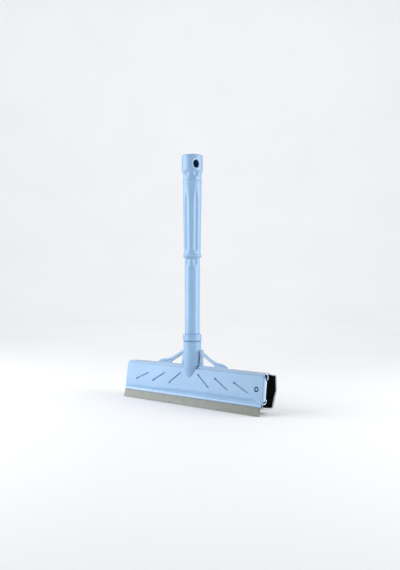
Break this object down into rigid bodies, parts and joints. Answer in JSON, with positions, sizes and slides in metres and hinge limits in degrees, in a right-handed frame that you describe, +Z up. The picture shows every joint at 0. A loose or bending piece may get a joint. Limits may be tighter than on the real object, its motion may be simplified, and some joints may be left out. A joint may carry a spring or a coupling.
{
  "type": "window squeegee",
  "caption": "Window squeegee: screw-in handle with finger grooves and hang hole, slotted head with braced socket, clamped rubber blade and slide-in wash pad.",
  "frame": {"origin": "centre of the hang hole, on the handle's axis", "axes": "+Z up the handle, away from the head; X along the head, +X the end where the pad slides out; -Y the side of the slotted front plate"},
  "size_m": [0.248, 0.0416, 0.3456],
  "materials": {
    "blue_plastic": "satin moulded",
    "washer_rubber": "matte",
    "blade_rubber": "matte",
    "screw_steel": "plain",
    "spring_steel": "plain",
    "black_foam": "open-cell foam",
    "pale_cloth": "short-pile cloth"
  },
  "bodies": {
    "handle": {"hanging_cap": "blue_plastic", "handle_grip": "blue_plastic", "handle_shaft": "blue_plastic", "threaded_plug": "blue_plastic"},
    "washer": {"handle_washer": "washer_rubber"},
    "head": {"front_plate": "blue_plastic", "rear_channel": "blue_plastic", "plate_screw_1": "screw_steel", "plate_screw_2": "screw_steel", "plate_screw_3": "screw_steel", "plate_screw_4": "screw_steel", "plate_screw_5": "screw_steel", "plate_screw_6": "screw_steel", "blade": "blade_rubber"},
    "button": {"release_button": "blue_plastic"},
    "pad": {"pad_carrier": "blue_plastic", "spring_rivet": "spring_steel", "foam_core": "black_foam", "pad_cloth": "pale_cloth"},
    "latch": {"latch_spring": "spring_steel"}
  },
  "joints": [
    {"name": "thread_lift", "type": "slide", "parent": "handle", "child": "washer", "axis": [0, 0, -1], "range_m": [0, 0.0255]},
    {"name": "thread_turn", "type": "hinge", "parent": "washer", "child": "head", "pos_m": [0, 0, 0], "axis": [0, 0, -1], "range_deg": [0, 1800]},
    {"name": "pad_slide", "type": "slide", "parent": "head", "child": "pad", "axis": [1, 0, 0], "range_m": [0, 0.25], "deforming": ["latch_spring"]},
    {"name": "button_press", "type": "slide", "parent": "head", "child": "button", "axis": [0, 0.9914, -0.1305], "range_m": [0, 0.0012], "stiffness_N_per_m": 1500},
    {"name": "latch_flex", "type": "hinge", "parent": "pad", "child": "latch", "pos_m": [0.092, -0.00183, -0.29983], "axis": [0, 0.1305, 0.9914], "range_deg": [0, 3.05]}
  ],
  "couplings": [
    {"joint": "thread_lift", "follows": "thread_turn", "m_per_rad": 0.00080851},
    {"joint": "latch_flex", "follows": "button_press", "rad_per_m": 43.478}
  ]
}
